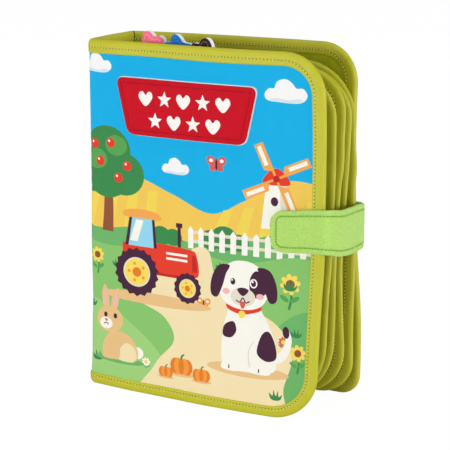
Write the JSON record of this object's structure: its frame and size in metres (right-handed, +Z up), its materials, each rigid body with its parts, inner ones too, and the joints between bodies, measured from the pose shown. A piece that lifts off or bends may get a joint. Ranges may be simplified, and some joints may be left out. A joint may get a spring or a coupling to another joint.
{
  "type": "quiet book",
  "caption": "Soft cloth quiet book with padded covers, quilted leaves, plush figures in a pocket and a touch-and-close strap.",
  "frame": {"origin": "on the surface the book stands on, under the middle of the closed and strapped book", "axes": "+X from the spine to the fore-edge, +Y from the front cover to the back cover, +Z up along the book's height"},
  "size_m": [0.188, 0.077, 0.2569],
  "materials": {
    "printed_cloth": "smooth printed polyester cloth",
    "foam_sheet": "soft foam and batting",
    "felt_lining": "dark green brushed felt",
    "edge_binding": "lime satin-weave tape, top-stitched",
    "red_cloth": "red fleece, padded and top-stitched",
    "strap_cloth": "light green short-pile loop cloth",
    "page_cloth": "plain page cloth",
    "white_felt": "white felt",
    "pink_plush": "pink short plush",
    "blue_plush": "blue short plush",
    "black_plush": "black-brown short plush"
  },
  "bodies": {
    "spine": {"spine_print": "printed_cloth", "spine_foam": "foam_sheet", "spine_lining": "felt_lining", "spine_binding_bottom": "edge_binding", "spine_binding_top": "edge_binding", "leaf_1_tab": "felt_lining", "leaf_2_tab": "felt_lining", "leaf_3_tab": "felt_lining", "leaf_4_tab": "felt_lining"},
    "front_cover": {"front_cover_print": "printed_cloth", "front_cover_foam": "foam_sheet", "front_cover_lining": "felt_lining", "front_cover_binding": "edge_binding", "title_patch_padding": "white_felt", "title_patch": "red_cloth", "cover_loop_patch": "white_felt"},
    "back_cover": {"back_cover_print": "printed_cloth", "back_cover_foam": "foam_sheet", "back_cover_lining": "felt_lining", "back_cover_binding": "edge_binding", "strap_anchor": "strap_cloth"},
    "strap_side": {"strap_side": "strap_cloth"},
    "strap_tab": {"strap_tab": "strap_cloth", "strap_hook_patch": "white_felt"},
    "leaf_1": {"leaf_1_front_page": "page_cloth", "leaf_1_batting": "foam_sheet", "leaf_1_back_page": "page_cloth", "leaf_1_binding": "edge_binding", "figure_pocket": "felt_lining"},
    "leaf_2": {"leaf_2_front_page": "page_cloth", "leaf_2_batting": "foam_sheet", "leaf_2_back_page": "page_cloth", "leaf_2_binding": "edge_binding"},
    "leaf_3": {"leaf_3_front_page": "page_cloth", "leaf_3_batting": "foam_sheet", "leaf_3_back_page": "page_cloth", "leaf_3_binding": "edge_binding"},
    "leaf_4": {"leaf_4_front_page": "page_cloth", "leaf_4_batting": "foam_sheet", "leaf_4_back_page": "page_cloth", "leaf_4_binding": "edge_binding"},
    "pink_figure": {"pink_figure_face": "pink_plush", "pink_figure_backing": "white_felt"},
    "blue_figure": {"blue_figure_face": "blue_plush", "blue_figure_backing": "white_felt"},
    "black_figure": {"black_figure_face": "black_plush", "black_figure_backing": "white_felt"}
  },
  "joints": [
    {"name": "front_cover_hinge", "type": "hinge", "parent": "spine", "child": "front_cover", "pos_m": [-0.09395, -0.03369, 0.125], "axis": [0, 0, -1], "range_deg": [0, 150]},
    {"name": "back_cover_hinge", "type": "hinge", "parent": "spine", "child": "back_cover", "pos_m": [-0.09395, 0.03031, 0.125], "axis": [0, 0, 1], "range_deg": [0, 90]},
    {"name": "leaf_1_hinge", "type": "hinge", "parent": "spine", "child": "leaf_1", "pos_m": [-0.08295, -0.01469, 0.12], "axis": [0, 0, -1], "range_deg": [0, 72]},
    {"name": "leaf_2_hinge", "type": "hinge", "parent": "spine", "child": "leaf_2", "pos_m": [-0.08295, -0.00319, 0.12], "axis": [0, 0, -1], "range_deg": [0, 54]},
    {"name": "leaf_3_hinge", "type": "hinge", "parent": "spine", "child": "leaf_3", "pos_m": [-0.08295, 0.00831, 0.12], "axis": [0, 0, -1], "range_deg": [0, 36]},
    {"name": "leaf_4_hinge", "type": "hinge", "parent": "spine", "child": "leaf_4", "pos_m": [-0.08295, 0.01981, 0.12], "axis": [0, 0, -1], "range_deg": [0, 18]},
    {"name": "strap_swing", "type": "hinge", "parent": "back_cover", "child": "strap_side", "pos_m": [0.08235, 0.0335, 0.13], "axis": [0, 0, 1], "range_deg": [0, 150]},
    {"name": "strap_peel", "type": "hinge", "parent": "strap_side", "child": "strap_tab", "pos_m": [0.0903, -0.03505, 0.13], "axis": [0, 0, 1], "range_deg": [0, 90], "deforming": ["strap_tab", "strap_hook_patch"]},
    {"name": "pink_figure_lift", "type": "slide", "parent": "leaf_1", "child": "pink_figure", "axis": [0, 0, 1], "range_m": [0, 0.05]},
    {"name": "blue_figure_lift", "type": "slide", "parent": "leaf_1", "child": "blue_figure", "axis": [0, 0, 1], "range_m": [0, 0.05]},
    {"name": "black_figure_lift", "type": "slide", "parent": "leaf_1", "child": "black_figure", "axis": [0, 0, 1], "range_m": [0, 0.05]}
  ],
  "couplings": [
    {"joint": "leaf_1_hinge", "follows": "front_cover_hinge", "ratio": 0.48},
    {"joint": "leaf_2_hinge", "follows": "front_cover_hinge", "ratio": 0.36},
    {"joint": "leaf_3_hinge", "follows": "front_cover_hinge", "ratio": 0.24},
    {"joint": "leaf_4_hinge", "follows": "front_cover_hinge", "ratio": 0.12}
  ]
}
